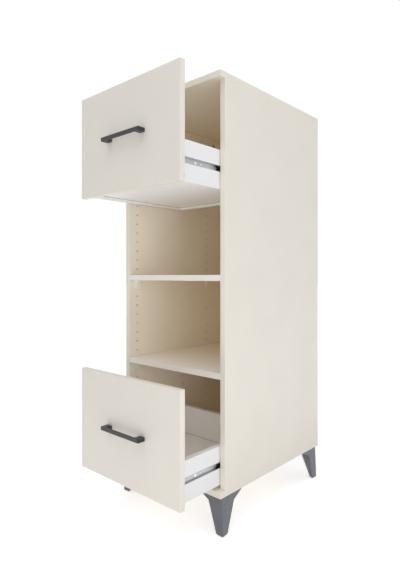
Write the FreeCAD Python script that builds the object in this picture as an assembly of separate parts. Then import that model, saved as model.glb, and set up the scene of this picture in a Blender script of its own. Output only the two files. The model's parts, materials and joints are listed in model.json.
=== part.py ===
import FreeCAD, Part
import itertools
import math
import os

from FreeCAD import Vector

os.makedirs("parts", exist_ok=True)

# Millimetres: x runs across the front, y from front to back, z up from the floor.

# Carcass
carcass_width = 450.0
side_depth = 553.0
side_height = 1192.0
board = 18.0
edge_ease = 0.6
back_thickness = 3.0
back_inset = 10.0
back_groove_depth = 7.0
back_groove_play = 0.2

# Hole rows in the sides: a count of pitches up from the row in the bottom board's plane
pitch = 32.0
first_row = 22.0
pin_hole = 5.0
pin_hole_depth = 9.0
front_column = 36.0
middle_column = 267.0
rear_column_from_back = 143.0
lowest_row_count = 1
highest_row_count = 28
highest_middle_row_count = 7
upper_shelf_row_count = 18
lower_shelf_row_count = 9
upper_rail_row_count = 29
lower_rail_row_count = 2

# Shelves and their supports
shelf_setback = 1.0
shelf_side_play = 0.5
shelf_back_play = 1.5
support_rise = 25.0
support_drop = 5.0
support_width = 18.0
support_reach = 12.0
support_wall = 3.0
support_pin_length = 8.0

# Fasteners of the carcass
fit = 0.1
end_play = 0.5
dowel_diameter = 8.0
dowel_length = 30.0
dowel_in_board = 11.0
dowel_from_front = 28.0
dowel_from_back = 53.0
cam_from_front = 70.0
cam_from_back = 98.0
cam_diameter = 15.0
cam_depth = 12.5
cam_from_end = 24.0
bolt_diameter = 6.0
bolt_in_board = 11.0
bolt_bore = 7.4
cam_slot_width = 2.0
cam_slot_depth = 2.0
cam_slot_length = 10.0

# Legs: u is measured inwards from the outer side plane, v inwards from the leg's outer end
leg_height = 115.0
leg_setback = 9.0
glide_thickness = 2.0
glide_diameter = 13.0
leg_top_size = 104.0
leg_top_inset = 4.0
leg_top_corner = 60.0
knee_drop = 22.0
knee_reach = 55.0
knee_inset = 1.0
knee_width = 26.0
knee_inner_reach = 57.0
foot_size = 27.0
foot_inset = 1.0
foot_lean = 3.0
foot_inner_long = 22.0
foot_inner_short = 15.0
glide_inset = 11.0
leg_screw_diameter = 4.0
leg_screw_head = 8.0
leg_screw_head_height = 2.4
leg_screw_seat = 5.0
leg_screw_in_board = 12.0
leg_screw_near = 20.0
leg_screw_far = 82.0
leg_screw_inner = 66.0
leg_screw_head_play = 0.3

# Drawer fronts
front_thickness = 18.0
front_gap = 2.0
front_side_gap = 1.0
front_end_gap = 4.0
upper_front_height = 319.0
lower_front_height = 319.0
front_ease = 0.8
drawer_open = 163.0
bumper_diameter = 8.0
bumper_thickness = 1.7
bumper_from_end = 22.0

# Drawer boxes
box_length = 417.0
box_height = 114.0
box_row_rise = 58.0
box_wall = 16.0
box_side_gap = 3.0
box_ease = 0.5
bottom_thickness = 3.0
bottom_rise = 8.0
bottom_groove_depth = 6.0
bottom_groove_play = 0.2
bottom_front_play = 0.3
box_dowel_heights = (26.0, 102.0)
box_bolt_in_front = 11.0
box_dowel_in_front = 11.0
box_cam_height = 88.0
box_cam_depth = 12.0
back_screw_heights = (30.0, 92.0)
back_screw_diameter = 4.0
back_screw_head = 7.0
back_screw_head_depth = 3.0
back_screw_length = 40.0

# Ball slides: a channel in each drawer side rides on a narrow rail on the carcass side
slide_length = 400.0
rail_setback = 2.0
runner_setback = 1.0
slide_thickness = 10.2
channel_height = 17.0
sheet = 1.0
channel_lip_play = 0.3
rail_height = 8.6
rail_reach = 7.4
ball_play = 0.3
ball_from_panel = 5.7
ball_count = 6
ball_spacing = 15.0
cage_web = 0.8
cage_web_play = 0.4
cage_flange = 1.0
cage_top_play = 0.7
cage_reach = 4.6
cage_length = 190.0
cage_front = 69.5
cage_ball_margin = 12.0
rail_screw_head = 5.6
rail_screw_head_height = 1.6
rail_screw_length = 9.0
rail_screw_diameter = 4.8
runner_first_screw = 68.5
runner_middle_screw = 232.0
runner_last_screw = 35.0
runner_hole_place = 91.0
runner_hole_length = 7.0
runner_hole_width = 4.6
runner_screw_head = 8.5
runner_screw_diameter = 3.2
runner_screw_length = 6.6

# Handles
handle_length = 170.0
handle_height = 11.0
handle_reach = 26.0
handle_bar = 7.0
handle_foot = 21.0
handle_rise = 159.5
handle_ease = 0.6
handle_inner_radius = 3.0
handle_screw_diameter = 4.0
handle_screw_in_handle = 9.0
handle_screw_head = 8.5
handle_screw_head_height = 2.2

# Places worked out from the sizes above
rear_column = side_depth - rear_column_from_back
dowel_setbacks = (dowel_from_front, side_depth - dowel_from_back)
cam_setbacks = (cam_from_front, side_depth - cam_from_back)
runner_rear = runner_setback + slide_length
runner_screw_places = (runner_first_screw, runner_middle_screw, runner_rear - runner_last_screw)
board_lead = front_thickness + front_gap
front_reach = board_lead + drawer_open + handle_reach
carcass_front = (front_reach - side_depth) / 2
carcass_back = carcass_front + side_depth
board_front = carcass_front - board_lead
carcass_base = leg_height
panel_base = carcass_base + board
panel_top = panel_base + side_height
outer_x = carcass_width / 2
inner_x = outer_x - board
panel_middle_x = outer_x - board / 2
back_rear = carcass_back - back_inset
back_front = back_rear - back_thickness
closed_front_back = carcass_front - front_gap
open_front_back = closed_front_back - drawer_open
open_front_face = open_front_back - front_thickness
box_x = inner_x - box_side_gap
box_inner_x = box_x - box_wall
box_back = open_front_back + box_length
channel_x = inner_x - slide_thickness
channel_mouth_x = box_x - channel_lip_play
rail_tip_x = inner_x - rail_reach
race_gap = (channel_height - 2 * sheet - rail_height) / 2
ball_diameter = race_gap - 2 * ball_play
ball_height = rail_height / 2 + race_gap / 2
ball_x = inner_x - ball_from_panel
upper_front_base = panel_top - front_end_gap - upper_front_height
lower_front_base = panel_base + front_end_gap
open_cage_front = carcass_front + cage_front - drawer_open / 2


def row_height(row):
    return carcass_base + first_row + row * pitch


upper_shelf_base = row_height(upper_shelf_row_count) + support_rise
lower_shelf_base = row_height(lower_shelf_row_count) + support_rise

drawers = {
    "upper": (upper_front_base, upper_front_height, row_height(upper_rail_row_count)),
    "lower": (lower_front_base, lower_front_height, row_height(lower_rail_row_count)),
}

X = Vector(1, 0, 0)
Y = Vector(0, 1, 0)
Z = Vector(0, 0, 1)


# Small helpers
def block(x0, x1, y0, y1, z0, z1):
    return Part.makeBox(x1 - x0, y1 - y0, z1 - z0, Vector(x0, y0, z0))


def eased_block(x0, x1, y0, y1, z0, z1, ease):
    solid = block(x0, x1, y0, y1, z0, z1)
    return solid.makeChamfer(ease, solid.Edges)


def rod(diameter, length, start, direction):
    return Part.makeCylinder(diameter / 2, length, start, direction)


def prism(outline, along):
    return Part.Face(Part.makePolygon(outline + [outline[0]])).extrude(along)


def mirrored(shape):
    return shape.mirror(Vector(0, 0, 0), X)


def both_sides(shapes):
    return shapes + [mirrored(shape) for shape in shapes]


def screw(head, head_height, shank, length, seat, direction):
    # The head stands behind the seat, and the shank runs on from the seat.
    head_rod = rod(head, head_height, seat - direction * head_height, direction)
    return head_rod.fuse(rod(shank, length, seat, direction))


def centre_of(points):
    total = Vector(0, 0, 0)
    for point in points:
        total = total + point
    return total * (1 / len(points))


def hull_face(points, normal):
    # The points must all lie on one plane: they are put in order round their centre.
    middle = centre_of(points)
    across = (points[0] - middle).normalize()
    upward = normal.cross(across)

    def turn(point):
        spoke = point - middle
        return math.atan2(spoke.dot(upward), spoke.dot(across))

    ring = sorted(points, key=turn)
    return Part.Face(Part.makePolygon(ring + [ring[0]]))


def hull(points):
    # Convex solid on a few points: a plane with every point on one side of it is a face.
    centre = centre_of(points)
    near = 1e-6
    normals = []
    faces = []
    for a, b, c in itertools.combinations(points, 3):
        normal = (b - a).cross(c - a)
        if normal.Length < near:
            continue
        normal.normalize()
        if normal.dot(a - centre) < 0:
            normal = normal * -1
        heights = [normal.dot(point - a) for point in points]
        known = any(normal.dot(other) > 1 - near for other in normals)
        if known or max(heights) > near:
            continue
        normals.append(normal)
        faces.append(hull_face([p for p, height in zip(points, heights) if height > -near], normal))
    return Part.makeSolid(Part.makeShell(faces))


def save(name, solids):
    shape = Part.makeCompound(solids) if isinstance(solids, list) else solids
    shape.exportStep("parts/" + name + ".step")


# Joints with a dowel, or with a bolt that a cam lock draws in
def dowel_hole(face, depth, direction):
    return rod(dowel_diameter + 2 * fit, depth + end_play, face, direction)


def bolt_hole(face, depth, direction):
    return rod(bolt_diameter + 2 * fit, depth + end_play, face, direction)


def cam_lock(mouth, into, bolt_side, axis_depth, depth):
    # A disc with a hollow for the bolt's end and a driver slot in its face.
    axis = mouth + into * axis_depth
    disc = rod(cam_diameter - 2 * fit, depth - end_play, mouth, into)
    hollow = rod(bolt_bore, cam_diameter + bolt_bore / 2, axis + bolt_side * cam_diameter, -bolt_side)
    across = into.cross(bolt_side)
    corner = mouth - bolt_side * (cam_slot_length / 2) - across * (cam_slot_width / 2)
    far = corner + bolt_side * cam_slot_length
    slot = prism([corner, far, far + across * cam_slot_width, corner + across * cam_slot_width],
                 into * cam_slot_depth)
    return disc.cut([hollow, slot])


# Carcass: the sides stand between the bottom board and the top board
def panel_ends():
    return ((panel_base, Z), (panel_top, -Z))


def side_point(setback, height):
    return Vector(panel_middle_x, carcass_front + setback, height)


def pin_holes():
    rows = list(range(lowest_row_count, highest_row_count + 1))
    middle_rows = list(range(lowest_row_count, highest_middle_row_count + 1))
    columns = (
        (front_column, rows + [upper_rail_row_count]),
        (middle_column, middle_rows + [upper_rail_row_count]),
        (rear_column, rows),
    )
    holes = []
    for setback, column_rows in columns:
        for row in column_rows:
            start = Vector(inner_x, carcass_front + setback, row_height(row))
            holes.append(rod(pin_hole, pin_hole_depth, start, X))
    return holes


def panel_end_holes():
    holes = []
    for height, inward in panel_ends():
        for setback in dowel_setbacks:
            holes.append(dowel_hole(side_point(setback, height), dowel_length - dowel_in_board, inward))
        for setback in cam_setbacks:
            end = side_point(setback, height)
            holes.append(rod(bolt_bore, cam_from_end, end, inward))
            mouth = Vector(inner_x, end.y, height) + inward * cam_from_end
            holes.append(rod(cam_diameter, cam_depth, mouth, X))
    return holes


def side_panel():
    panel = eased_block(inner_x, outer_x, carcass_front, carcass_back, panel_base, panel_top, edge_ease)
    groove = block(inner_x, inner_x + back_groove_depth, back_front - back_groove_play,
                   back_rear + back_groove_play, panel_base, panel_top)
    return panel.cut([groove] + pin_holes() + panel_end_holes())


def cross_board(base, face, away):
    # face is the height where the sides meet the board, away points from there into the board.
    solid = eased_block(-outer_x, outer_x, board_front, carcass_back, base, base + board, edge_ease)
    holes = [dowel_hole(side_point(setback, face), dowel_in_board, away) for setback in dowel_setbacks]
    holes += [bolt_hole(side_point(setback, face), bolt_in_board, away) for setback in cam_setbacks]
    low, high = sorted((face, face + away.z * back_groove_depth))
    half = inner_x + back_groove_depth
    groove = block(-half, half, back_front - back_groove_play, back_rear + back_groove_play, low, high)
    return solid.cut(both_sides(holes) + [groove])


def bottom_board():
    holes = []
    for corner in leg_corners:
        for u, v in leg_screw_places():
            start = leg_point(corner, u, v, 0)
            holes.append(rod(leg_screw_diameter + 2 * fit, leg_screw_in_board + end_play, start, Z))
    return cross_board(carcass_base, panel_base, -Z).cut(holes)


def back_panel():
    reach = back_groove_depth - end_play
    return block(-inner_x - reach, inner_x + reach, back_front, back_rear, panel_base - reach,
                 panel_top + reach)


def carcass_dowels():
    dowels = []
    for height, inward in panel_ends():
        for setback in dowel_setbacks:
            start = side_point(setback, height) - inward * dowel_in_board
            dowels.append(rod(dowel_diameter, dowel_length, start, inward))
    return both_sides(dowels)


def carcass_cam_bolts():
    bolts = []
    for height, inward in panel_ends():
        for setback in cam_setbacks:
            start = side_point(setback, height) - inward * bolt_in_board
            bolts.append(rod(bolt_diameter, bolt_in_board + cam_from_end, start, inward))
    return both_sides(bolts)


def carcass_cam_locks():
    locks = []
    for height, inward in panel_ends():
        for setback in cam_setbacks:
            mouth = Vector(inner_x, carcass_front + setback, height) + inward * cam_from_end
            locks.append(cam_lock(mouth, X, -inward, board / 2, cam_depth))
    return both_sides(locks)


# Shelves
def shelf(base):
    half = inner_x - shelf_side_play
    return eased_block(-half, half, carcass_front + shelf_setback, back_front - shelf_back_play, base,
                       base + board, edge_ease)


def shelf_support(setback, row):
    # A gusset on the side: its pin sits in a hole of the row, its flat top carries the shelf.
    middle = Vector(inner_x, carcass_front + setback, row_height(row))
    near = middle - Y * (support_width / 2)
    outline = [
        near - Z * support_drop,
        near + Z * support_rise,
        near + Z * support_rise - X * support_reach,
        near + Z * (support_rise - support_wall) - X * support_reach,
        near - Z * support_drop - X * support_wall,
    ]
    gusset = prism(outline, Y * support_width)
    return gusset.fuse(rod(pin_hole - 2 * fit, support_pin_length, middle, X))


def shelf_supports(row):
    return both_sides([shelf_support(front_column, row), shelf_support(rear_column, row)])


# Legs: a wide cap under the board, drawn in at the knee, and a shaft that tapers to the outer corner
def leg_point(corner, u, v, drop):
    side, end = corner
    end_y = board_front + leg_setback + v if end == "front" else carcass_back - leg_setback - v
    return Vector(side * (outer_x - u), end_y, carcass_base - drop)


def swapped(places):
    return [(v, u) for u, v in places]


def leg(corner):
    top_half = [(leg_top_inset, leg_top_size), (leg_top_corner, leg_top_size)]
    knee_half = [(knee_inset, knee_reach), (knee_width, knee_inner_reach)]
    foot_half = [(foot_lean, foot_size), (foot_inner_short, foot_inner_long)]
    top = [(leg_top_inset, leg_top_inset)] + top_half + swapped(top_half)
    knee = knee_half + swapped(knee_half)
    foot = [(foot_inset, foot_inset)] + foot_half + swapped(foot_half)
    foot_drop = leg_height - glide_thickness
    knee_points = [leg_point(corner, u, v, knee_drop) for u, v in knee]
    cap = hull([leg_point(corner, u, v, 0) for u, v in top] + knee_points)
    shaft_top = [leg_point(corner, leg_top_inset, leg_top_inset, 0)] + knee_points
    shaft = hull(shaft_top + [leg_point(corner, u, v, foot_drop) for u, v in foot])
    body = cap.fuse(shaft).removeSplitter()
    return body.cut(leg_screw_holes(corner))


def leg_screw_places():
    return ((leg_screw_near, leg_screw_far), (leg_screw_far, leg_screw_near),
            (leg_screw_inner, leg_screw_inner))


def leg_screw_holes(corner):
    holes = []
    for u, v in leg_screw_places():
        seat = leg_point(corner, u, v, leg_screw_seat)
        holes.append(rod(leg_screw_diameter + 2 * fit, leg_screw_seat, seat, Z))
        holes.append(rod(leg_screw_head + 2 * leg_screw_head_play, knee_drop, seat, -Z))
    return holes


def leg_screws():
    screws = []
    for corner in leg_corners:
        for u, v in leg_screw_places():
            seat = leg_point(corner, u, v, leg_screw_seat)
            screws.append(screw(leg_screw_head, leg_screw_head_height, leg_screw_diameter,
                                leg_screw_seat + leg_screw_in_board, seat, Z))
    return screws


def leg_glides():
    places = [leg_point(corner, glide_inset, glide_inset, leg_height) for corner in leg_corners]
    return [rod(glide_diameter, glide_thickness, place, Z) for place in places]


leg_corners = ((-1, "front"), (1, "front"), (-1, "rear"), (1, "rear"))


# Drawers: each function takes the drawer's own heights
def front_side_x():
    return outer_x - front_side_gap


def box_base(row_z):
    return row_z - box_row_rise


def box_side_point(row_z, height):
    return Vector((box_x + box_inner_x) / 2, open_front_back, box_base(row_z) + height)


def handle_places(front_base):
    hole_x = (handle_length - handle_foot) / 2
    height = front_base + handle_rise
    return [Vector(-hole_x, open_front_face, height), Vector(hole_x, open_front_face, height)]


def drawer_front(front_base, front_height, row_z):
    half = front_side_x()
    solid = eased_block(-half, half, open_front_face, open_front_back, front_base,
                        front_base + front_height, front_ease)
    holes = [bolt_hole(box_side_point(row_z, box_cam_height), box_bolt_in_front, -Y)]
    for height in box_dowel_heights:
        holes.append(dowel_hole(box_side_point(row_z, height), box_dowel_in_front, -Y))
    holes = both_sides(holes)
    for place in handle_places(front_base):
        holes.append(rod(handle_screw_diameter + 2 * fit, front_thickness, place, Y))
    return solid.cut(holes)


def front_bumpers(front_base, front_height):
    bumpers = []
    for height in (front_base + bumper_from_end, front_base + front_height - bumper_from_end):
        start = Vector(panel_middle_x, open_front_back, height)
        bumpers.append(rod(bumper_diameter, bumper_thickness, start, Y))
    return both_sides(bumpers)


def back_screw_seats(row_z):
    middle_y = box_back - box_wall / 2
    seat_x = box_x - back_screw_head_depth
    return [Vector(seat_x, middle_y, box_base(row_z) + height) for height in back_screw_heights]


def runner_screw_seats(row_z):
    seat_x = channel_x + sheet
    return [Vector(seat_x, open_front_back + place, row_z) for place in runner_screw_places]


def bottom_groove_heights(row_z):
    low = box_base(row_z) + bottom_rise - bottom_groove_play
    return low, low + bottom_thickness + 2 * bottom_groove_play


def box_side(row_z):
    base = box_base(row_z)
    solid = eased_block(box_inner_x, box_x, open_front_back, box_back, base, base + box_height, box_ease)
    half_channel = channel_height / 2 + fit
    low, high = bottom_groove_heights(row_z)
    holes = [
        block(channel_x, box_x, open_front_back, box_back, row_z - half_channel, row_z + half_channel),
        block(box_inner_x, box_inner_x + bottom_groove_depth, open_front_back, box_back, low, high),
    ]
    for height in box_dowel_heights:
        holes.append(dowel_hole(box_side_point(row_z, height), dowel_length - box_dowel_in_front, Y))
    bolt_end = box_side_point(row_z, box_cam_height)
    holes.append(rod(bolt_bore, cam_from_end, bolt_end, Y))
    mouth = Vector(box_inner_x, bolt_end.y + cam_from_end, bolt_end.z)
    holes.append(rod(cam_diameter, box_cam_depth, mouth, X))
    for seat in back_screw_seats(row_z):
        holes.append(rod(back_screw_head + 2 * fit, back_screw_head_depth, seat, X))
        holes.append(rod(back_screw_diameter + 2 * fit, box_wall, seat, -X))
    for seat in runner_screw_seats(row_z):
        holes.append(rod(runner_screw_diameter + 2 * fit, runner_screw_length + fit, seat, -X))
    return solid.cut(holes)


def box_back_panel(row_z):
    base = box_base(row_z)
    front_y = box_back - box_wall
    solid = eased_block(-box_inner_x, box_inner_x, front_y, box_back, base, base + box_height, box_ease)
    low, high = bottom_groove_heights(row_z)
    groove = block(-box_inner_x, box_inner_x, front_y, front_y + bottom_groove_depth, low, high)
    screw_holes = []
    for seat in back_screw_seats(row_z):
        screw_holes.append(rod(back_screw_diameter + 2 * fit, back_screw_length + end_play, seat, -X))
    return solid.cut([groove] + both_sides(screw_holes))


def box_bottom(row_z):
    half = box_inner_x + bottom_groove_depth - end_play
    rear = box_back - box_wall + bottom_groove_depth - end_play
    low = box_base(row_z) + bottom_rise
    return block(-half, half, open_front_back + bottom_front_play, rear, low, low + bottom_thickness)


def box_cam_bolts(row_z):
    start = box_side_point(row_z, box_cam_height) - Y * box_bolt_in_front
    return both_sides([rod(bolt_diameter, box_bolt_in_front + cam_from_end, start, Y)])


def box_cam_locks(row_z):
    bolt_end = box_side_point(row_z, box_cam_height)
    mouth = Vector(box_inner_x, bolt_end.y + cam_from_end, bolt_end.z)
    return both_sides([cam_lock(mouth, X, -Y, box_wall / 2, box_cam_depth)])


def box_dowels(row_z):
    dowels = []
    for height in box_dowel_heights:
        start = box_side_point(row_z, height) - Y * box_dowel_in_front
        dowels.append(rod(dowel_diameter, dowel_length, start, Y))
    return both_sides(dowels)


def box_back_screws(row_z):
    seats = back_screw_seats(row_z)
    return both_sides([screw(back_screw_head, back_screw_head_depth, back_screw_diameter,
                             back_screw_length, seat, -X) for seat in seats])


# Ball slides
def runner(row_z):
    # A channel in the drawer side's groove, open towards the carcass side.
    near = open_front_back + runner_setback
    far = near + slide_length
    half = channel_height / 2
    solid = block(channel_x, channel_mouth_x, near, far, row_z - half, row_z + half)
    inside = block(channel_x + sheet, channel_mouth_x, near, far, row_z - half + sheet,
                   row_z + half - sheet)
    holes = [inside]
    for seat in runner_screw_seats(row_z):
        holes.append(Part.makeCone(runner_screw_head / 2 + fit, runner_screw_diameter / 2 + fit, sheet,
                                   seat, -X))
    for shift in (-1, 1):
        place = open_front_back + runner_hole_place + shift * (runner_hole_length - runner_hole_width) / 2
        holes.append(rod(runner_hole_width, sheet, Vector(channel_x, place, row_z), X))
    slot_half = (runner_hole_length - runner_hole_width) / 2
    middle = open_front_back + runner_hole_place
    holes.append(block(channel_x, channel_x + sheet, middle - slot_half, middle + slot_half,
                       row_z - runner_hole_width / 2, row_z + runner_hole_width / 2))
    return solid.cut(holes)


def runner_screw(seat):
    head = Part.makeCone(runner_screw_head / 2, runner_screw_diameter / 2, sheet, seat, -X)
    return head.fuse(rod(runner_screw_diameter, runner_screw_length, seat, -X))


def cabinet_rail(row_z):
    # A narrow channel on the carcass side, open towards the drawer.
    near = carcass_front + rail_setback
    far = near + slide_length
    half = rail_height / 2
    solid = block(rail_tip_x, inner_x, near, far, row_z - half, row_z + half)
    inside = block(rail_tip_x, inner_x - sheet, near, far, row_z - half + sheet, row_z + half - sheet)
    holes = [rod(rail_screw_diameter + 2 * fit, sheet, seat, X) for seat in rail_screw_seats(row_z)]
    return solid.cut([inside] + holes)


def rail_screw_seats(row_z):
    seat_x = inner_x - sheet
    return [Vector(seat_x, carcass_front + setback, row_z) for setback in (front_column, middle_column)]


def rail_screws():
    screws = []
    for front_base, front_height, row_z in drawers.values():
        for seat in rail_screw_seats(row_z):
            screws.append(screw(rail_screw_head, rail_screw_head_height, rail_screw_diameter,
                                rail_screw_length, seat, X))
    return both_sides(screws)


def ball_centres(row_z):
    # The balls sit in the rear half of the cage: its bare nose runs ahead of them.
    rear = open_cage_front + cage_length - cage_ball_margin
    centres = []
    for count in range(ball_count):
        for lift in (-ball_height, ball_height):
            centres.append(Vector(ball_x, rear - count * ball_spacing, row_z + lift))
    return centres


def ball_cage(row_z):
    web_x = channel_x + sheet + cage_web_play
    flange_x = web_x + cage_web
    half = channel_height / 2 - sheet - cage_top_play
    far = open_cage_front + cage_length
    cage = block(web_x, flange_x, open_cage_front, far, row_z - half, row_z + half)
    for lift in (-ball_height, ball_height):
        low = row_z + lift - cage_flange / 2
        cage = cage.fuse(block(web_x, flange_x + cage_reach, open_cage_front, far, low,
                               low + cage_flange))
    pockets = []
    for centre in ball_centres(row_z):
        start = centre - Z * cage_flange
        pockets.append(rod(ball_diameter + 2 * fit, 2 * cage_flange, start, Z))
    return cage.removeSplitter().cut(pockets)


def bearing_balls(row_z):
    return both_sides([Part.makeSphere(ball_diameter / 2, centre) for centre in ball_centres(row_z)])


# Handles
def handle(front_base):
    # A flat bow: a bar held off the front by a foot at each end.
    half = handle_length / 2
    inner_half = half - handle_foot
    outer_y = open_front_face - handle_reach
    low = front_base + handle_rise - handle_height / 2
    high = low + handle_height
    bow = block(-half, half, outer_y, open_front_face, low, high)
    gap = block(-inner_half, inner_half, outer_y + handle_bar, open_front_face, low, high)
    inner_corners = [edge for edge in gap.Edges if is_upright_at(edge, outer_y + handle_bar)]
    gap = gap.makeFillet(handle_inner_radius, inner_corners)
    bow = bow.cut(gap)
    shown = [edge for edge in bow.Edges if edge.BoundBox.YMax < open_front_face - handle_ease]
    bow = bow.makeChamfer(handle_ease, shown)
    depth = handle_screw_in_handle + end_play
    holes = [rod(handle_screw_diameter + 2 * fit, depth, place, -Y) for place in handle_places(front_base)]
    return bow.cut(holes)


def is_upright_at(edge, y):
    box = edge.BoundBox
    return box.ZLength > max(box.XLength, box.YLength) and abs(box.YMin - y) < fit


def handle_screws(front_base):
    screws = []
    for place in handle_places(front_base):
        seat = place + Y * front_thickness
        screws.append(screw(handle_screw_head, handle_screw_head_height, handle_screw_diameter,
                            front_thickness + handle_screw_in_handle, seat, -Y))
    return screws


# All pieces, one file each
save("side_panel_right", side_panel())
save("side_panel_left", mirrored(side_panel()))
save("top_board", cross_board(panel_top, panel_top, Z))
save("bottom_board", bottom_board())
save("back_panel", back_panel())
save("carcass_dowels", carcass_dowels())
save("carcass_cam_bolts", carcass_cam_bolts())
save("carcass_cam_locks", carcass_cam_locks())
save("upper_shelf", shelf(upper_shelf_base))
save("lower_shelf", shelf(lower_shelf_base))
save("upper_shelf_supports", shelf_supports(upper_shelf_row_count))
save("lower_shelf_supports", shelf_supports(lower_shelf_row_count))
for side, end in leg_corners:
    save("leg_" + end + ("_left" if side < 0 else "_right"), leg((side, end)))
save("leg_screws", leg_screws())
save("leg_glides", leg_glides())
save("cabinet_rail_screws", rail_screws())

for name, (front_base, front_height, row_z) in drawers.items():
    save(name + "_drawer_front", drawer_front(front_base, front_height, row_z))
    save(name + "_drawer_side_right", box_side(row_z))
    save(name + "_drawer_side_left", mirrored(box_side(row_z)))
    save(name + "_drawer_back", box_back_panel(row_z))
    save(name + "_drawer_bottom", box_bottom(row_z))
    save(name + "_drawer_cam_bolts", box_cam_bolts(row_z))
    save(name + "_drawer_cam_locks", box_cam_locks(row_z))
    save(name + "_drawer_dowels", box_dowels(row_z))
    save(name + "_drawer_back_screws", box_back_screws(row_z))
    save(name + "_drawer_bumpers", front_bumpers(front_base, front_height))
    save(name + "_drawer_handle", handle(front_base))
    save(name + "_drawer_handle_screws", handle_screws(front_base))
    save(name + "_drawer_runner_right", runner(row_z))
    save(name + "_drawer_runner_left", mirrored(runner(row_z)))
    save(name + "_drawer_runner_screws", both_sides([runner_screw(s) for s in runner_screw_seats(row_z)]))
    save(name + "_cabinet_rail_right", cabinet_rail(row_z))
    save(name + "_cabinet_rail_left", mirrored(cabinet_rail(row_z)))
    save(name + "_ball_cages", both_sides([ball_cage(row_z)]))
    save(name + "_bearing_balls", bearing_balls(row_z))
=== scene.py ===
import json
import math

import bmesh
import bpy
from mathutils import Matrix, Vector


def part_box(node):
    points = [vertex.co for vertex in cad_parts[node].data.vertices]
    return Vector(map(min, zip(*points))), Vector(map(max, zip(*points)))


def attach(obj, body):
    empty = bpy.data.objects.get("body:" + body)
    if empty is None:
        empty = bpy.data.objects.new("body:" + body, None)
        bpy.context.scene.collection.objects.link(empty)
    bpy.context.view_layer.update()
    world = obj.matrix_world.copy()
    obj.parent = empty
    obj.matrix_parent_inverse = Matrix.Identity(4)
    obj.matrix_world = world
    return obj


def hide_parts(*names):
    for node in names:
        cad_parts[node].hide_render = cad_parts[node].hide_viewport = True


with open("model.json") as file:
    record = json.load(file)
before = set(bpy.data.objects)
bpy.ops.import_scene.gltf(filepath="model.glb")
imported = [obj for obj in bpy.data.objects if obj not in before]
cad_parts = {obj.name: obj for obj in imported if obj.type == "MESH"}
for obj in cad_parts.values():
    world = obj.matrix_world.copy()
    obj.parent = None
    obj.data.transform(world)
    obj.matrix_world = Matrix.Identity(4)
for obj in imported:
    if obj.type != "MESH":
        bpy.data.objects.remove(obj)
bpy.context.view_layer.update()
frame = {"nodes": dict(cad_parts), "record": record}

nodes = frame["nodes"]
MM = 0.001


# Shader maths: a socket that reads like a number
class Value:
    def __init__(self, tree, socket):
        self.tree = tree
        self.socket = socket

    def node(self, kind, settings=None, **sockets):
        return add_node(self.tree, kind, settings, **sockets)

    def maths(self, operation, other=None):
        sockets = {"s0": self} if other is None else {"s0": self, "s1": other}
        return self.node("ShaderNodeMath", {"operation": operation}, **sockets)["Value"]

    def __add__(self, other):
        return self.maths("ADD", other)

    def __sub__(self, other):
        return self.maths("SUBTRACT", other)

    def __rsub__(self, other):
        return (self * -1) + other

    def __mul__(self, other):
        return self.maths("MULTIPLY", other)

    def __gt__(self, other):
        return self.maths("GREATER_THAN", other)

    def __lt__(self, other):
        return self.maths("LESS_THAN", other)

    def minimum(self, other):
        return self.maths("MINIMUM", other)

    def maximum(self, other):
        return self.maths("MAXIMUM", other)

    def size(self):
        return self.maths("ABSOLUTE")

    def ramp(self, low=0.3, high=0.7):
        settings = {"interpolation_type": "SMOOTHSTEP"}
        sockets = {"Value": self, "From_Min": low, "From_Max": high}
        return self.node("ShaderNodeMapRange", settings, **sockets)["Result"]


class Outputs:
    """A node's outputs, by name or by place."""

    def __init__(self, tree, node):
        self.tree = tree
        self.made = node

    def __getitem__(self, name):
        return Value(self.tree, self.made.outputs[name])


def add_node(tree, kind, settings=None, **sockets):
    # Sockets are named as in the node, with _ for a space, or s and a number for their place.
    made = tree.nodes.new(kind)
    for name, value in (settings or {}).items():
        if name == "stops":
            ramp = made.color_ramp
            while len(ramp.elements) < len(value):
                ramp.elements.new(1)
            for element, (place, colour) in zip(ramp.elements, value):
                element.position = place
                element.color = colour
        else:
            setattr(made, name, value)
    for name, value in sockets.items():
        by_place = name[0] == "s" and name[1:].isdigit()
        target = made.inputs[int(name[1:])] if by_place else made.inputs[name.replace("_", " ")]
        if isinstance(value, Value):
            tree.links.new(value.socket, target)
        else:
            target.default_value = value
    return Outputs(tree, made)


def mix_colours(tree, share, first, second):
    # The node has its colours at places 6 and 7, and their mix at place 2.
    return add_node(tree, "ShaderNodeMix", {"data_type": "RGBA"}, s0=share, s6=first, s7=second)[2]


def rgb(red, green, blue):
    # A colour as seen on screen, made linear by the sRGB curve.
    def linear(part):
        share = part / 255
        return share / 12.92 if share <= 0.04045 else ((share + 0.055) / 1.055) ** 2.4

    return (linear(red), linear(green), linear(blue), 1)


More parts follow.
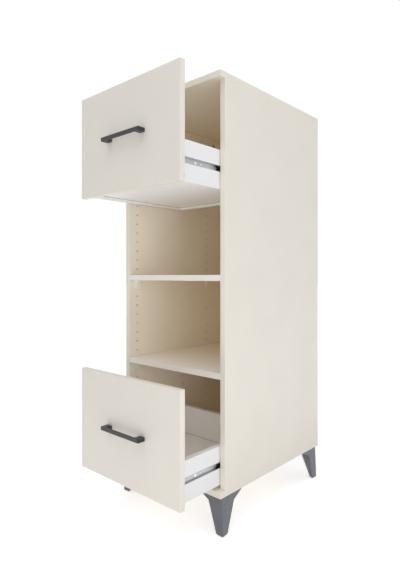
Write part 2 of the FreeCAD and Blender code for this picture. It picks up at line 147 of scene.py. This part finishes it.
class Finish:
    """A material being made: its tree, its Principled shader and the places that patterns read."""

    def __init__(self, name, **plain):
        self.material = bpy.data.materials.new(name)
        self.material.use_nodes = True
        self.tree = self.material.node_tree
        self.shader = self.tree.nodes["Principled BSDF"]
        for socket, value in plain.items():
            self.shader.inputs[socket.replace("_", " ")].default_value = value
        self.place = self.add("ShaderNodeTexCoord")["Object"]
        parts = self.add("ShaderNodeSeparateXYZ", Vector=self.place)
        self.x, self.y, self.z = parts["X"], parts["Y"], parts["Z"]

    def add(self, kind, settings=None, **sockets):
        return add_node(self.tree, kind, settings, **sockets)

    def noise(self, scale, detail, stretch=(1, 1, 1)):
        place = self.add("ShaderNodeMapping", Vector=self.place, Scale=stretch)["Vector"]
        return self.add("ShaderNodeTexNoise", Vector=place, Scale=scale, Detail=detail)["Fac"]

    def cells(self, scale, output="Distance"):
        return self.add("ShaderNodeTexVoronoi", Vector=self.place, Scale=scale)[output]

    def mix(self, share, first, second):
        return mix_colours(self.tree, share, first, second)

    def shaded(self, colour, share):
        plain = colour if isinstance(colour, Value) else colour[:3]
        settings = {"operation": "SCALE"}
        return self.add("ShaderNodeVectorMath", settings, s0=plain, Scale=share)["Vector"]

    def colour_stops(self, share, *stops):
        return self.add("ShaderNodeValToRGB", {"stops": stops}, Fac=share)["Color"]

    def link(self, socket, value):
        self.tree.links.new(value.socket, self.shader.inputs[socket])

    def bump(self, height, strength, distance):
        made = self.add("ShaderNodeBump", Height=height, Strength=strength, Distance=distance)
        self.link("Normal", made["Normal"])


def times(colour, factor):
    return tuple(min(part * factor, 1) for part in colour[:3]) + (1,)


# Boards: melamine faces and bands over chipboard, and fibreboard in the thin ones
cashmere = rgb(243, 235, 222)
# The inner, shelf and inner white colours are lighter copies of the face colours: painted light on boards
# that sit in shade inside the carcass and the boxes.
inner_cashmere_painted_light = rgb(246, 237, 220)
shelf_cashmere_painted_light = rgb(249, 242, 230)
white_face = rgb(246, 245, 243)
inner_white_painted_light = rgb(252, 251, 249)
chip_browns = (rgb(150, 116, 78), rgb(188, 154, 112), rgb(214, 186, 146))
chip_gap_brown = rgb(120, 90, 58)
chip_gap_share = 0.35
chip_relief = 2.2
chip_fine_relief = 1.4
fibre_browns = (rgb(166, 134, 98), rgb(140, 108, 74))
fibre_cloud_brown = rgb(150, 122, 92)
fibre_cloud_share = 0.4
fibre_relief = 1.2

skin_depth = 0.8 * MM
band_thickness = 1.1 * MM
joint_width = 0.12 * MM
# The seam reach and seam shade give the width and strength of the painted shade beside seams.
seam_reach = 1.4 * MM
groove_margin = 0.4 * MM
joint_shade = 0.12
seam_painted_shade = 0.55
cloud_shade = 0.025
grain_shade = 0.015
grain_relief = 0.35
face_roughness = 0.38
bare_roughness_rise = 0.35
grain_roughness_rise = 0.1
cloud_roughness_rise = 0.06
face_share = 0.8
flush_share = 0.9995


def chipboard(finish):
    # Flakes in three browns with darker gaps, as a colour and a relief.
    flake = finish.cells(scale=420, output="Color")
    flake_share = finish.add("ShaderNodeSeparateColor", Color=flake)["Red"]
    fine = finish.noise(scale=900, detail=3)
    chips = finish.colour_stops(flake_share, *zip((0.0, 0.5, 1.0), chip_browns))
    gaps = fine.ramp() * chip_gap_share
    relief = flake_share * chip_relief + fine * chip_fine_relief
    return finish.mix(gaps, chips, chip_gap_brown), relief


def fibreboard(finish):
    # Pressed brown fibre in soft clouds, as a colour and a relief.
    fibre = finish.noise(scale=650, detail=4)
    mottle = finish.noise(scale=25, detail=3)
    brown = finish.mix(fibre.ramp(), *fibre_browns)
    clouds = mottle.ramp() * fibre_cloud_share
    return finish.mix(clouds, brown, fibre_cloud_brown), fibre * fibre_relief


def board_finish(node, face, inner_face_painted_light=None, inner_side=None, core=chipboard, bare_side=None,
                 wrapped=None, shaded_seams=()):
    # inner_side and bare_side are an axis and a sign, wrapped a band of heights with a covered groove.
    # shaded_seams are sides and heights where another piece enters the board, and a band of painted shade
    # darkens the board beside each.
    finish = Finish(node + "_board", IOR=1.47)
    low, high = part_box(node)
    middle = (low + high) / 2
    half = (high - low) / 2
    place = {"X": finish.x, "Y": finish.y, "Z": finish.z}
    offset = {axis: place[axis] - middle["XYZ".index(axis)] for axis in "XYZ"}
    depth = {axis: half["XYZ".index(axis)] - offset[axis].size() for axis in "XYZ"}

    def towards(side, reach_share):
        axis, sign = side
        return (offset[axis] * sign) > half["XYZ".index(axis)] * reach_share

    cut = depth["X"].minimum(depth["Y"]).minimum(depth["Z"]) > skin_depth
    if bare_side:
        cut = cut.maximum(towards(bare_side, flush_share))
    if wrapped:
        bottom, top = wrapped
        cut = cut * ((offset["Z"] + (middle.z - (bottom + top) / 2)).size() > (top - bottom) / 2)
    raw, raw_relief = core(finish)

    # The melamine has a fine pearl grain, a soft cloud, and a hairline where the edge band meets it.
    grain = finish.noise(scale=1500, detail=2)
    cloud = finish.noise(scale=9, detail=3)
    thinnest = min("XYZ", key=lambda axis: half["XYZ".index(axis)])
    across, along = [axis for axis in "XYZ" if axis != thinnest]
    to_edge = depth[across].minimum(depth[along])
    joint = (to_edge - band_thickness).size() < joint_width
    shade = 1 - cloud.ramp(0.25, 0.75) * cloud_shade - grain.ramp() * grain_shade - joint * joint_shade
    # Painted shade: a dark band on the board beside each seam, where shade falls in the gap.
    for side, height in shaded_seams:
        near = (offset["Z"] + (middle.z - height)).size() < seam_reach
        shade = shade - near * towards(side, face_share) * seam_painted_shade
    # Inner faces may take a lighter copy of the colour: painted light for the shaded inside.
    colour = inner_face_painted_light or face
    if inner_face_painted_light and inner_side:
        colour = finish.mix(towards(inner_side, face_share), face, inner_face_painted_light)
    skin = finish.shaded(colour, shade)
    finish.link("Base Color", finish.mix(cut, skin, raw))
    rougher = grain * grain_roughness_rise + cloud * cloud_roughness_rise + cut * bare_roughness_rise
    finish.link("Roughness", rougher + face_roughness)
    finish.bump(grain * grain_relief + cut * raw_relief, strength=0.25, distance=0.15 * MM)
    return finish.material


def moulded(name, colour, rough, grain_scale, strength):
    # Moulded plastic: fine spark texture and a slight unevenness of sheen. rough is the middle value.
    finish = Finish(name, IOR=1.5)
    spark = finish.noise(grain_scale, detail=2)
    flow = finish.noise(scale=30, detail=2)
    darkened = flow.ramp() * 0.5 + spark * 0.3
    finish.link("Base Color", finish.mix(darkened, colour, times(colour, 0.8)))
    finish.link("Roughness", flow * 0.1 + spark * 0.08 + (rough - 0.09))
    finish.bump(spark, strength, distance=0.1 * MM)
    return finish.material


def powder_coat(name, colour, rough):
    # Powder coat: orange peel and a fine metallic fleck.
    finish = Finish(name, IOR=1.5, Coat_Roughness=0.35, Coat_Weight=0.15)
    peel = finish.noise(scale=700, detail=2)
    fleck = finish.cells(scale=3200)
    brightened = fleck.ramp(0.25, 0.05) * 0.35
    finish.link("Base Color", finish.mix(brightened, colour, times(colour, 1.6)))
    finish.link("Roughness", peel * 0.12 + (rough - 0.06))
    finish.bump(peel, strength=0.3, distance=0.08 * MM)
    return finish.material


def zinc_plate(name, colour, rough, stretch=(1, 1, 1)):
    # Zinc plate: drawn lines along the strip, faint spangle and duller patches.
    finish = Finish(name, Metallic=1.0)
    lines = finish.noise(scale=900, detail=3, stretch=stretch)
    patch = finish.cells(scale=170)
    dull = finish.noise(scale=45, detail=3)
    darkened = lines.ramp() * 0.35 + patch * 0.3 + dull.ramp(0.35, 0.75) * 0.25
    finish.link("Base Color", finish.mix(darkened, colour, times(colour, 0.72)))
    finish.link("Roughness", lines * 0.14 + dull * 0.12 + (rough - 0.13))
    finish.bump(lines, strength=0.15, distance=0.04 * MM)
    return finish.material


def beech(name):
    # Beech: pores and grain drawn out along y and z, the ways in which the dowels lie.
    finish = Finish(name, IOR=1.45)
    pores = finish.noise(scale=500, detail=3, stretch=(1, 0.06, 0.06))
    finish.link("Base Color", finish.mix(pores.ramp(), rgb(206, 168, 122), rgb(176, 134, 88)))
    finish.link("Roughness", pores * 0.2 + 0.5)
    finish.bump(pores, strength=0.3, distance=0.1 * MM)
    return finish.material


def dress(name, material):
    slots = nodes[name].data.materials
    slots.clear()
    slots.append(material)


rear_edge = ("Y", 1)
inner_sides = {"side_panel_left": ("X", 1), "side_panel_right": ("X", -1), "top_board": ("Z", -1),
               "bottom_board": ("Z", 1)}
for name, inner_side in inner_sides.items():
    dress(name, board_finish(name, cashmere, inner_cashmere_painted_light, inner_side, bare_side=rear_edge))
for name in ("upper_shelf", "lower_shelf"):
    dress(name, board_finish(name, shelf_cashmere_painted_light, bare_side=rear_edge))
dress("back_panel", board_finish("back_panel", inner_cashmere_painted_light, core=fibreboard, bare_side=rear_edge))
for level in ("upper", "lower"):
    box = level + "_drawer_"
    dress(box + "bottom", board_finish(box + "bottom", inner_white_painted_light, core=fibreboard))
    bottom_faces = [corner.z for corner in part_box(box + "bottom")]
    for end, inwards, face in (("front", 1, cashmere), ("back", -1, inner_white_painted_light)):
        shaded_seams = [(("Y", inwards), height) for height in bottom_faces]
        dress(box + end, board_finish(box + end, face, shaded_seams=shaded_seams))
    for side, inwards in (("left", 1), ("right", -1)):
        runner_low, runner_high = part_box(box + "runner_" + side)
        groove = (runner_low.z - groove_margin, runner_high.z + groove_margin)
        shaded_seams = [(("X", inwards), height) for height in bottom_faces]
        # Painted shade on the outer face just over the runner, where shade falls in the gap above it.
        shaded_seams.append((("X", -inwards), runner_high.z))
        name = box + "side_" + side
        dress(name, board_finish(name, white_face, inner_white_painted_light, ("X", inwards), wrapped=groove,
                                 shaded_seams=shaded_seams))

# The other materials, by the slot that the record gives to each node
along_the_strip = (1, 0.02, 1)
slot_finish = {
    "leg_plastic": moulded("anthracite_plastic", rgb(113, 115, 121), rough=0.42, grain_scale=1400,
                           strength=0.25),
    "glide_plastic": moulded("glide_plastic", rgb(38, 38, 40), rough=0.55, grain_scale=1200,
                             strength=0.2),
    "handle_metal": powder_coat("anthracite_coat", rgb(36, 38, 40), rough=0.5),
    "support_plastic": moulded("support_plastic", rgb(250, 247, 239), rough=0.35, grain_scale=1300,
                               strength=0.15),
    "zinc_steel": zinc_plate("runner_zinc", rgb(192, 194, 196), rough=0.34, stretch=along_the_strip),
    "screw_steel": zinc_plate("screw_zinc", rgb(244, 244, 243), rough=0.32),
    "cam_zinc": zinc_plate("cam_zinc", rgb(206, 205, 203), rough=0.55),
    "cage_plastic": moulded("cage_plastic", rgb(26, 26, 27), rough=0.4, grain_scale=1500,
                            strength=0.2),
    "bearing_steel": zinc_plate("ball_steel", rgb(210, 211, 214), rough=0.16),
    "dowel_beech": beech("beech"),
    "bumper_rubber": moulded("bumper_rubber", rgb(222, 222, 218), rough=0.3, grain_scale=900,
                             strength=0.1),
}
for row in frame["record"]["subparts"]:
    if row["material_slot"] in slot_finish:
        dress(row["node"], slot_finish[row["material_slot"]])


# Pieces that stand for CAD nodes, with the same place and size and finer form
weld_distance = 0.001 * MM
flat_limit = math.radians(0.3)
corner_limit = math.radians(30)
smooth_limit = math.radians(40)
nose_corner = 2.0 * MM
nose_notch = 7.0 * MM
nose_depth = 0.1 * MM
nose_corner_share = 0.97
nose_notch_share = 0.1


def body_of(node):
    for body, names in frame["record"]["behaviour"]["bodies"].items():
        if node in names:
            return body
    raise ValueError("no body holds " + node)


def slot_of(node):
    for row in frame["record"]["subparts"]:
        if row["node"] == node:
            return row["material_slot"]
    raise ValueError("no slot for " + node)


def stand_in(piece, node):
    # The piece takes over a node's material, body and slot.
    if not piece.data.materials:
        piece.data.materials.append(slot_finish[slot_of(node)])
    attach(piece, body_of(node))
    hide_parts(node)


def skin_of(node):
    # A node's loose triangles as one closed skin.
    build = bmesh.new()
    build.from_mesh(nodes[node].data)
    bmesh.ops.remove_doubles(build, verts=build.verts, dist=weld_distance)
    return build


def add_piece(name, mesh):
    mesh.shade_smooth()
    mesh.set_sharp_from_angle(angle=smooth_limit)
    piece = bpy.data.objects.new(name, mesh)
    bpy.context.scene.collection.objects.link(piece)
    return piece


def round_edges(build, radius, shortest, segments):
    long_edges = [edge for edge in build.edges
                  if edge.calc_length() > shortest and len(edge.link_faces) == 2
                  and edge.calc_face_angle() > corner_limit]
    bmesh.ops.bevel(build, geom=long_edges, offset=radius, offset_type="OFFSET", segments=segments,
                    profile=0.5, affect="EDGES", clamp_overlap=True)


def softened(node, name, radius, shortest, segments=3, reshape=None):
    # The node's solid again, its flat faces joined and its long edges rounded.
    build = skin_of(node)
    bmesh.ops.dissolve_limit(build, angle_limit=flat_limit, verts=build.verts, edges=build.edges)
    if reshape:
        reshape(build)
    round_edges(build, radius, shortest, segments)
    mesh = bpy.data.meshes.new(name)
    build.to_mesh(mesh)
    build.free()
    piece = add_piece(name, mesh)
    even = piece.modifiers.new("even_shading", "WEIGHTED_NORMAL")
    even.keep_sharp = True
    stand_in(piece, node)


def notch_the_nose(build):
    # The cage's bare nose ends in two prongs, so it slips past the bend of the runner.
    front = min(vertex.co.y for vertex in build.verts)
    middle = (min(v.co.z for v in build.verts) + max(v.co.z for v in build.verts)) / 2
    half = max(v.co.z for v in build.verts) - middle
    bmesh.ops.bisect_plane(build, geom=build.verts[:] + build.edges[:] + build.faces[:],
                           plane_co=(0, 0, middle), plane_no=(0, 0, 1))
    for vertex in build.verts:
        if vertex.co.y < front + nose_depth:
            rise_share = abs(vertex.co.z - middle) / half
            if rise_share > nose_corner_share:
                vertex.co.y += nose_corner
            elif rise_share < nose_notch_share:
                vertex.co.y += nose_notch


for end in ("front", "rear"):
    for side in ("left", "right"):
        softened(f"leg_{end}_{side}", f"moulded_leg_{end}_{side}", radius=0.9 * MM, shortest=8 * MM)
softened("leg_glides", "moulded_glides", radius=0.7 * MM, shortest=0.5 * MM)
for level in ("upper", "lower"):
    softened(level + "_drawer_handle", level + "_bow_handle", radius=0.5 * MM, shortest=3 * MM)
    softened(level + "_shelf_supports", level + "_gusset_supports", radius=0.5 * MM, shortest=3 * MM)
    softened(level + "_ball_cages", level + "_notched_cages", radius=0.25 * MM, shortest=3 * MM,
             segments=2, reshape=notch_the_nose)
    for side in ("left", "right"):
        softened(f"{level}_drawer_runner_{side}", f"{level}_rolled_runner_{side}", radius=0.35 * MM,
                 shortest=30 * MM)
        softened(f"{level}_cabinet_rail_{side}", f"{level}_rolled_rail_{side}", radius=0.35 * MM,
                 shortest=30 * MM)


# Screws, by Geometry Nodes: a turned head with a cross recess, and a threaded shank
station_digits = 5
ring_reach = 0.01 * MM
head_rings = 7
head_sides = 28
recess_depth_share = 0.7
recess_length_share = 1.15
recess_width_share = 0.24
shank_sides = 14
rings_for_each_thread = 4
thread_depth_share = 0.22
point_share = 0.3
spin_seed = 7


def islands(node):
    # The points of each separate solid in the node.
    build = skin_of(node)
    met = set()
    found = []
    for start in build.verts:
        if start in met:
            continue
        met.add(start)
        group = [start]
        queue = [start]
        while queue:
            for edge in queue.pop().link_edges:
                for vertex in edge.verts:
                    if vertex not in met:
                        met.add(vertex)
                        group.append(vertex)
                        queue.append(vertex)
        found.append([vertex.co.copy() for vertex in group])
    build.free()
    return found


def read_screw(points):
    # The axis is the direction with the fewest different places: the rings of the turned shape.
    places = [sorted({round(point[axis], station_digits) for point in points}) for axis in range(3)]
    axis = min(range(3), key=lambda index: len(places[index]))
    middle = (Vector([min(p[i] for p in points) for i in range(3)])
              + Vector([max(p[i] for p in points) for i in range(3)])) / 2

    def radius_at(place):
        ring = [point - middle for point in points if abs(point[axis] - place) < ring_reach]
        for spoke in ring:
            spoke[axis] = 0
        return max(spoke.length for spoke in ring)

    stations = places[axis]
    if radius_at(stations[0]) < radius_at(stations[-1]):
        stations = stations[::-1]
    outward = Vector((0, 0, 0))
    outward[axis] = 1 if stations[0] > stations[1] else -1
    seat = middle.copy()
    seat[axis] = stations[1]
    return {
        "seat": seat,
        "outward": outward,
        "Head Radius": radius_at(stations[0]),
        "Head Height": abs(stations[0] - stations[1]),
        "Shank Radius": radius_at(stations[-1]),
        "Shank Length": abs(stations[1] - stations[-1]),
    }


def join(tree, *parts):
    made = tree.nodes.new("GeometryNodeJoinGeometry")
    for part in parts:
        tree.links.new(part.socket, made.inputs[0])
    return Value(tree, made.outputs[0])


def turned(tree, height, rings, sides, radius):
    # A solid of revolution: a circle swept up a line, with a radius for each ring.
    end = add_node(tree, "ShaderNodeCombineXYZ", Z=height)["Vector"]
    line = add_node(tree, "GeometryNodeCurvePrimitiveLine", Start=(0, 0, 0), End=end)["Curve"]
    line = add_node(tree, "GeometryNodeResampleCurve", Curve=line, Count=rings)["Curve"]
    circle = add_node(tree, "GeometryNodeCurvePrimitiveCircle", Resolution=sides, Radius=1.0)["Curve"]
    return add_node(tree, "GeometryNodeCurveToMesh", Curve=line, Profile_Curve=circle, Scale=radius,
                    Fill_Caps=True)["Mesh"]


def screw_tree():
    tree = bpy.data.node_groups.new("turned_screws", "GeometryNodeTree")
    rows = (("Places", "NodeSocketGeometry"), ("Head Radius", "NodeSocketFloat"),
            ("Head Height", "NodeSocketFloat"), ("Seat Taper", "NodeSocketFloat"),
            ("Crown", "NodeSocketFloat"), ("Shank Radius", "NodeSocketFloat"),
            ("Shank Length", "NodeSocketFloat"), ("Threads", "NodeSocketInt"),
            ("Finish", "NodeSocketMaterial"))
    for name, kind in rows:
        tree.interface.new_socket(name=name, in_out="INPUT", socket_type=kind)
    tree.interface.new_socket(name="Screws", in_out="OUTPUT", socket_type="NodeSocketGeometry")
    given = add_node(tree, "NodeGroupInput")
    along = add_node(tree, "GeometryNodeSplineParameter")["Factor"]

    head_radius = given["Head Radius"]
    head_height = given["Head Height"]
    taper = (1 - along) * given["Seat Taper"]
    dome = along * along * along * given["Crown"]
    head = turned(tree, head_height, head_rings, head_sides, head_radius * (1 - taper - dome))
    depth = head_height * recess_depth_share
    arms = []
    for turn in (0, math.pi / 2):
        size = add_node(tree, "ShaderNodeCombineXYZ", X=head_radius * recess_length_share,
                        Y=head_radius * recess_width_share, Z=depth * 2)["Vector"]
        bar = add_node(tree, "GeometryNodeMeshCube", Size=size)["Mesh"]
        top = add_node(tree, "ShaderNodeCombineXYZ", Z=head_height)["Vector"]
        spin = (0, 0, turn)
        arms.append(add_node(tree, "GeometryNodeTransform", Geometry=bar, Translation=top,
                             Rotation=spin)["Geometry"])
    head = add_node(tree, "GeometryNodeMeshBoolean", {"operation": "DIFFERENCE"}, Mesh_1=head,
                    Mesh_2=join(tree, *arms))["Mesh"]

    threads = given["Threads"]
    wave = (((along * threads).maths("FRACT") - 0.5).size() * 2).minimum(1)
    point = ((1 - along) * threads * 0.5 + point_share).minimum(1)
    shank_radius = given["Shank Radius"] * (1 - wave * thread_depth_share) * point
    rings = threads * rings_for_each_thread + 1
    shank = turned(tree, given["Shank Length"] * -1, rings, shank_sides, shank_radius)

    axis = add_node(tree, "GeometryNodeInputNamedAttribute", {"data_type": "FLOAT_VECTOR"},
                    Name="outward")["Attribute"]
    upright = add_node(tree, "FunctionNodeAlignRotationToVector", {"axis": "Z"}, Vector=axis)["Rotation"]
    angle = add_node(tree, "FunctionNodeRandomValue", {"data_type": "FLOAT"}, s2=0.0, s3=math.pi / 2,
                     s8=spin_seed)[1]
    spin = add_node(tree, "FunctionNodeAxisAngleToRotation", Axis=(0, 0, 1), Angle=angle)["Rotation"]
    turn = add_node(tree, "FunctionNodeRotateRotation", {"rotation_space": "LOCAL"}, Rotation=upright,
                    Rotate_By=spin)["Rotation"]
    copies = add_node(tree, "GeometryNodeInstanceOnPoints", Points=given["Places"],
                      Instance=join(tree, head, shank), Rotation=turn)["Instances"]
    solid = add_node(tree, "GeometryNodeRealizeInstances", Geometry=copies)["Geometry"]
    done = add_node(tree, "GeometryNodeSetMaterial", Geometry=solid, Material=given["Finish"])["Geometry"]
    out = tree.nodes.new("NodeGroupOutput")
    tree.links.new(done.socket, out.inputs["Screws"])
    return tree


def grown_from(tree, base_mesh, name, **sizes):
    # The tree's result on a base mesh, as a plain mesh object.
    base = bpy.data.objects.new(name + "_places", base_mesh)
    bpy.context.scene.collection.objects.link(base)
    growth = base.modifiers.new("growth", "NODES")
    growth.node_group = tree
    for item in tree.interface.items_tree:
        if item.in_out == "INPUT" and item.name in sizes:
            growth[item.identifier] = sizes[item.name]
    ready = base.evaluated_get(bpy.context.evaluated_depsgraph_get())
    mesh = bpy.data.meshes.new_from_object(ready)
    mesh.name = name
    base.modifiers.remove(growth)
    bpy.data.objects.remove(base)
    return add_piece(name, mesh)


def fit_screws(node, name, crown, seat_taper, threads):
    read = [read_screw(points) for points in islands(node)]
    places = bpy.data.meshes.new(name + "_places")
    places.from_pydata([row["seat"] for row in read], [], [])
    outward = places.attributes.new("outward", "FLOAT_VECTOR", "POINT")
    for item, row in zip(outward.data, read):
        item.vector = row["outward"]
    sizes = {key: read[0][key] for key in ("Head Radius", "Head Height", "Shank Radius", "Shank Length")}
    sizes.update({"Crown": crown, "Seat Taper": seat_taper, "Threads": threads,
                  "Finish": slot_finish[slot_of(node)]})
    stand_in(grown_from(screws, places, name, **sizes), node)


screws = screw_tree()
fit_screws("leg_screws", "leg_pan_screws", crown=0.4, seat_taper=0.0, threads=9)
fit_screws("cabinet_rail_screws", "rail_euro_screws", crown=0.25, seat_taper=0.15, threads=5)
for level in ("upper", "lower"):
    drawer = level + "_drawer_"
    fit_screws(drawer + "handle_screws", level + "_handle_pan_screws", crown=0.4, seat_taper=0.0,
               threads=24)
    fit_screws(drawer + "runner_screws", level + "_runner_flat_screws", crown=0.0, seat_taper=0.4,
               threads=5)
    fit_screws(drawer + "back_screws", level + "_box_flat_screws", crown=0.0, seat_taper=0.5,
               threads=20)


# Studio: floor, world and lamps
studio_white = (0.975, 1.0, 1.045, 1)
floor_reach = 30
floor_glow_near = 0.56
floor_glow_rise = 0.26
glow_rises_from = 1.2
glow_rises_to = 4.0
ambient = 0.45


def floor_finish():
    # White paper that glows a little towards the eye, so that it runs out into a white background.
    finish = Finish("studio_floor", Roughness=0.9, IOR=1.2)
    tone = finish.noise(scale=0.8, detail=2)
    finish.link("Base Color", finish.mix(tone, rgb(250, 248, 246), rgb(247, 245, 243)))
    rays = finish.add("ShaderNodeLightPath")
    seen = rays["Is Camera Ray"].maximum(rays["Is Glossy Ray"])
    far = finish.add("ShaderNodeVectorMath", {"operation": "LENGTH"}, s0=finish.place)["Value"]
    glow_level = seen * (far.ramp(glow_rises_from, glow_rises_to) * floor_glow_rise + floor_glow_near)
    glow = finish.add("ShaderNodeEmission", Color=(1, 1, 1, 1), Strength=glow_level)["Emission"]
    out = finish.tree.nodes["Material Output"]
    shade = Value(finish.tree, finish.shader.outputs["BSDF"])
    both = finish.add("ShaderNodeAddShader", s0=shade, s1=glow)["Shader"]
    finish.tree.links.new(both.socket, out.inputs["Surface"])
    return finish.material


def add_floor():
    mesh = bpy.data.meshes.new("studio_floor")
    build = bmesh.new()
    bmesh.ops.create_grid(build, x_segments=8, y_segments=8, size=floor_reach)
    build.to_mesh(mesh)
    build.free()
    mesh.materials.append(floor_finish())
    floor = bpy.data.objects.new("studio_floor", mesh)
    bpy.context.scene.collection.objects.link(floor)
    return floor


def add_world():
    # White to the eye and to reflections, and a dimmer, cooler light on the surfaces.
    world = bpy.data.worlds.new("studio")
    bpy.context.scene.world = world
    world.use_nodes = True
    sky = world.node_tree
    background = sky.nodes["Background"]
    rays = add_node(sky, "ShaderNodeLightPath")
    seen = rays["Is Camera Ray"].maximum(rays["Is Glossy Ray"]).maximum(rays["Is Transmission Ray"])
    colour = mix_colours(sky, seen, studio_white, (1, 1, 1, 1))
    strength = seen * (1.0 - ambient) + ambient
    sky.links.new(colour.socket, background.inputs["Color"])
    sky.links.new(strength.socket, background.inputs["Strength"])


def add_lamp(name, place, target, size, power):
    data = bpy.data.lights.new(name, "AREA")
    data.shape = "RECTANGLE"
    data.size, data.size_y = size
    data.energy = power
    data.color = studio_white[:3]
    lamp = bpy.data.objects.new(name, data)
    lamp.location = place
    lamp.rotation_euler = (Vector(target) - Vector(place)).to_track_quat("-Z", "Y").to_euler()
    lamp.visible_camera = False
    bpy.context.scene.collection.objects.link(lamp)


floor = add_floor()
add_world()
add_lamp("right_softbox", place=(2.9, -1.75, 0.9), target=(0, 0, 0.65), size=(2.4, 1.8), power=24)
add_lamp("overhead_softbox", place=(0.3, -0.9, 3.2), target=(0.3, -0.6, 0), size=(3.0, 3.0), power=33)
add_lamp("front_floor_card", place=(0.3, -0.95, 0.02), target=(0.3, -0.95, 1), size=(2.0, 1.0),
         power=2.0)
add_lamp("niche_card", place=(0.05, -0.54, 0.5), target=(0.05, -0.54, 1), size=(0.5, 0.24),
         power=0.28)
add_lamp("side_floor_card", place=(1.6, 0.3, 0.02), target=(1.6, 0.3, 1), size=(2.0, 2.4), power=6.8)
bounce_limits = bpy.context.scene.cycles
bounce_limits.max_bounces = 16
bounce_limits.diffuse_bounces = 12

# Camera: fitted to the photograph's vanishing lines, the 32 mm hole rows and the edges of the part
photo_height_pixels = 570
focal_pixels = 464.47
sensor = 36
level_tilt = math.radians(90)
turn_to_the_left = 0.7376
camera_data = bpy.data.cameras.new("camera")
camera_data.lens = focal_pixels / photo_height_pixels * sensor
camera_data.sensor_width = sensor
camera_data.shift_x = 0.00145
camera_data.shift_y = -0.01676
camera = bpy.data.objects.new("camera", camera_data)
camera.location = (1.0702, -1.2131, 0.7544)
camera.rotation_euler = (level_tilt, 0, turn_to_the_left)
bpy.context.scene.collection.objects.link(camera)
bpy.context.scene.camera = camera
bpy.context.scene.view_settings.view_transform = "Standard"
